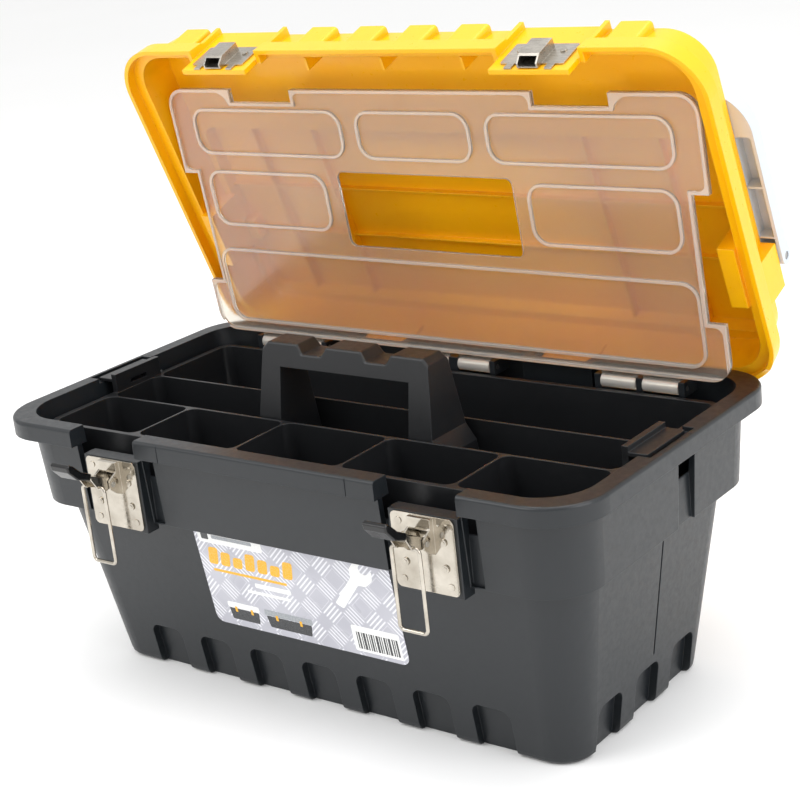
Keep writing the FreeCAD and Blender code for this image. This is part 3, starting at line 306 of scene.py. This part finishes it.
def printedFilm():
    material, tree = newMaterial("polypropylene_film_gloss_printed")
    place = addNode(tree, "TexCoord")
    split = addNode(tree, "SeparateXYZ", links={0: (place, "Object")})

    def calc(operation, a, b=None, third=None):
        node = addNode(tree, "Math", {"operation": operation})
        for index, value in enumerate((a, b, third)):
            if isinstance(value, tuple):
                tree.links.new(value[0].outputs[value[1]], node.inputs[index])
            elif value is not None:
                node.inputs[index].default_value = value
        return node, 0

    u = calc("MULTIPLY", (split, "X"), 1000 / film["pitch"])
    v = calc("MULTIPLY", (split, "Z"), 1000 / film["pitch"])
    oddCell = calc("PINGPONG", calc("ADD", calc("FLOOR", u), calc("FLOOR", v)), 1.0)
    p = calc("SUBTRACT", calc("FRACT", u), 0.5)
    q = calc("SUBTRACT", calc("FRACT", v), 0.5)
    along = calc("ADD", p, q)
    across = calc("SUBTRACT", p, q)
    swapped = calc("SUBTRACT", 1.0, oddCell)
    a = calc("ADD", calc("MULTIPLY", along, oddCell), calc("MULTIPLY", across, swapped))
    b = calc("ADD", calc("MULTIPLY", across, oddCell), calc("MULTIPLY", along, swapped))
    length = addNode(tree, "MapRange", values={1: 0.62, 2: 0.50, 3: 0.0, 4: 1.0},
                     links={0: calc("ABSOLUTE", a)})
    width = addNode(tree, "MapRange", values={1: 0.56, 2: 0.50, 3: 0.0, 4: 1.0},
                    links={0: calc("ABSOLUTE", b)})
    bars = addNode(tree, "MapRange", values={1: 0.24, 2: 0.40, 3: 0.0, 4: 1.0},
                   links={0: calc("PINGPONG", calc("MULTIPLY", b, film["barsInGroup"]), 0.5)})
    plate = calc("MULTIPLY", calc("MULTIPLY", (length, 0), (width, 0)), (bars, 0))
    glow = addNode(tree, "TexNoise", values={"Scale": 26.0, "Detail": 2.0}, links={"Vector": (place, "Object")})
    ground = addNode(tree, "Mix", {"data_type": "RGBA"},
                     {6: toLinear(film["ground"]), 7: toLinear(film["dark"])}, {0: (glow, 0)})
    colour = addNode(tree, "Mix", {"data_type": "RGBA"}, {7: toLinear(film["light"])},
                     {0: plate, 6: (ground, 2)})
    bump = addNode(tree, "Bump", values={"Strength": 0.3, "Distance": 0.00006}, links={"Height": (glow, 0)})
    rough = addNode(tree, "MapRange", values={1: 0.3, 2: 0.7, 3: 0.2, 4: 0.32}, links={0: (glow, 0)})
    shader = addNode(tree, "BsdfPrincipled",
                     values={"IOR": 1.49, "Coat Weight": 0.4, "Coat Roughness": 0.12},
                     links={"Base Color": (colour, 2), "Roughness": (rough, 0), "Normal": (bump, 0)})
    closeMaterial(tree, shader)
    return material


finishes = {name: mouldedPlastic(name, look) for name, look in plastics.items()}
finishes.update({name: platedSteel(name, look) for name, look in steels.items()})
finishes["cover"] = milkyPolypropylene()
finishes["film"] = printedFilm()
print("materials ready")

# which finish each group of nodes wears
nodeFinish = {
    "tub": "anthracite_polypropylene_satin_moulded",
    "lid": "yellow_polypropylene_gloss_moulded",
    "tray": "black_polypropylene_satin_moulded",
    "tray_handle": "black_polypropylene_satin_moulded",
    "organiser_cover": "cover",
    "carry_handle": "light_grey_polypropylene_gloss_moulded",
    "handle_grip": "black_thermoplastic_rubber_matt",
    "lever_grip": "black_vinyl_hot_dipped",
    "label": "film",
    "strike": "satin_nickel_plated_pressed_steel",
    "strike_rivets": "bright_nickel_plated_pressed_steel",
    "latch_plate": "bright_nickel_plated_pressed_steel",
    "latch_lever": "bright_nickel_plated_pressed_steel",
    "latch_bail": "bright_nickel_plated_pressed_steel",
    "latch_rivets": "bright_nickel_plated_pressed_steel",
    "latch_pin": "drawn_steel_wire",
    "lid_hinge_pin": "drawn_steel_wire",
    "handle_pin": "drawn_steel_wire",
    "cover_pin": "drawn_steel_wire",
}


def dressNodes():
    for name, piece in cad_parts.items():
        key = name
        for side in ("_left", "_right", "_middle"):
            key = key.removesuffix(side)
        piece.data.materials.clear()
        piece.data.materials.append(finishes[nodeFinish[key]])


dressNodes()
print("nodes dressed")

# printing on the label: plain shapes with no words, in millimetres along x and up the wall
label = {"yellow": "#f0b21a", "white": "#f4f4f2", "dark": "#2c2e31", "grey": "#9da1a5", "thick": 0.08}


def inkMaterial(name, colour):
    material, tree = newMaterial(name)
    place = addNode(tree, "TexCoord")
    dots = addNode(tree, "TexNoise", values={"Scale": 900.0, "Detail": 1.0}, links={"Vector": (place, "Object")})
    shade = [c * 0.9 for c in toLinear(colour)[:3]] + [1.0]
    tone = addNode(tree, "Mix", {"data_type": "RGBA"}, {6: toLinear(colour), 7: shade}, {0: (dots, 0)})
    rough = addNode(tree, "MapRange", values={3: 0.2, 4: 0.34}, links={0: (dots, 0)})
    shader = addNode(tree, "BsdfPrincipled", values={"IOR": 1.49, "Coat Weight": 0.4, "Coat Roughness": 0.12},
                     links={"Base Color": (tone, 2), "Roughness": (rough, 0)})
    closeMaterial(tree, shader)
    return material


inks = {shade: inkMaterial("gloss_ink_" + shade, label[shade]) for shade in ("yellow", "white", "dark", "grey")}


# a rounded patch from corner points (x, up), with the corners cut by a small arc
def roundCorners(points, radius, steps=5):
    outline = []
    for index, corner in enumerate(points):
        here = Vector(corner)
        before = (Vector(points[index - 1]) - here)
        after = (Vector(points[(index + 1) % len(points)]) - here)
        reach = min(radius, before.length / 2, after.length / 2)
        start, end = here + before.normalized() * reach, here + after.normalized() * reach
        for step in range(steps + 1):
            t = step / steps
            outline.append(start.lerp(here, t).lerp(here.lerp(end, t), t))
    return outline


# places flat patches on the sloping front wall, their corners given as (x, rise) in millimetres
# from the label's bottom middle; a higher level stands further off the film
def labelPatch(name, outlines, ink, level=1):
    slope = math.radians(film["slope"])
    low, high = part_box("label")
    up = Vector((0, -math.sin(slope), math.cos(slope)))
    out = Vector((0, -math.cos(slope), -math.sin(slope)))
    origin = Vector(((low.x + high.x) / 2, low.y, high.z)) - up * (high.z - low.z) / math.cos(slope)
    mesh = bmesh.new()
    for outline in outlines:
        lower, upper = [], []
        for x, rise in outline:
            base = origin + Vector((x / 1000, 0, 0)) + up * (rise / 1000)
            lower.append(mesh.verts.new(base))
            upper.append(mesh.verts.new(base + out * (label["thick"] * level / 1000)))
        mesh.faces.new(upper)
        mesh.faces.new(list(reversed(lower)))
        for i, j in zip(range(len(outline)), list(range(1, len(outline))) + [0]):
            mesh.faces.new((lower[i], lower[j], upper[j], upper[i]))
    bmesh.ops.recalc_face_normals(mesh, faces=mesh.faces)
    data = bpy.data.meshes.new(name)
    mesh.to_mesh(data)
    mesh.free()
    data.materials.append(inks[ink])
    piece = bpy.data.objects.new(name, data)
    bpy.context.collection.objects.link(piece)
    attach(piece, "tub_body")
    return piece


def patch(left, bottom, right, top, radius=1.0, lean=0.0):
    shift = (top - bottom) * lean
    return roundCorners([(left, bottom), (right, bottom), (right + shift, top), (left + shift, top)], radius)


def makeLabelPrint():
    labelPatch("print_maker_strip", [patch(-76, 62, -22, 72, 2)], "white")
    labelPatch("print_maker_lines", [patch(-64, 65.8, -30, 68.4, 0.8)], "grey", 2)
    labelPatch("print_maker_block", [patch(-73, 64.5, -67, 70.0, 0.8)], "dark", 2)
    # the big title becomes a row of leaning yellow bars
    bars = [patch(-72 + 10.4 * i, 46, -64 + 10.4 * i, 59 - (i % 3) * 2.4, 2.4, 0.2) for i in range(7)]
    labelPatch("print_title_bars", bars, "yellow")
    labelPatch("print_title_rule", [patch(-70, 40.6, -8, 42.6, 0.9, 0.3)], "yellow")
    lines = [patch(-36, 34.0, -6, 37.4, 1.2), patch(-44, 27.6, -8, 31.0, 1.2), patch(-44, 22.4, -14, 25.0, 1.0)]
    labelPatch("print_white_lines", lines, "white")
    # an open-ended spanner stands where the large number would be
    spanner = [(30, 36), (36, 33), (52, 53), (58, 53), (64, 58), (65, 65), (60, 61.5), (56, 62.5), (55, 66.5),
               (59, 71), (52, 69.5), (47.5, 64), (47.5, 58)]
    labelPatch("print_spanner", [roundCorners(spanner, 1.6)], "white")
    # two small pictures of a closed box
    for index, (x, wide, lidInk) in enumerate(((-52, 27, "white"), (-14, 40, "grey"))):
        name = f"print_picture_{index}"
        half = wide / 2
        labelPatch(name + "_body", [roundCorners([(x - half * 0.86, 5), (x + half * 0.86, 5), (x + half * 0.94, 13.5),
                                                  (x - half * 0.94, 13.5)], 1.0)], "dark", 2)
        labelPatch(name + "_lid", [patch(x - half, 13.8, x + half, 18.2, 1.4)], lidInk, 2)
        catches = [patch(x + s * half * 0.5 - 1, 11, x + s * half * 0.5 + 1, 15, 0.4) for s in (-1, 1)]
        labelPatch(name + "_catches", catches, "yellow", 3)
    labelPatch("print_code_panel", [patch(38, 3, 75, 22, 1.5)], "white", 2)
    stripes, x = [], 41.0
    for index in range(17):
        wide = (0.7, 1.3, 0.7, 1.7, 1.0)[index % 5]
        stripes.append(patch(x, 5, x + wide, 17.5, 0.05))
        x += wide + (0.8, 1.1, 0.7)[index % 3]
    labelPatch("print_code_stripes", stripes, "dark", 3)
    labelPatch("print_side_line", [patch(28, 25, 74, 27.2, 0.9)], "dark")


makeLabelPrint()
print("label printed")
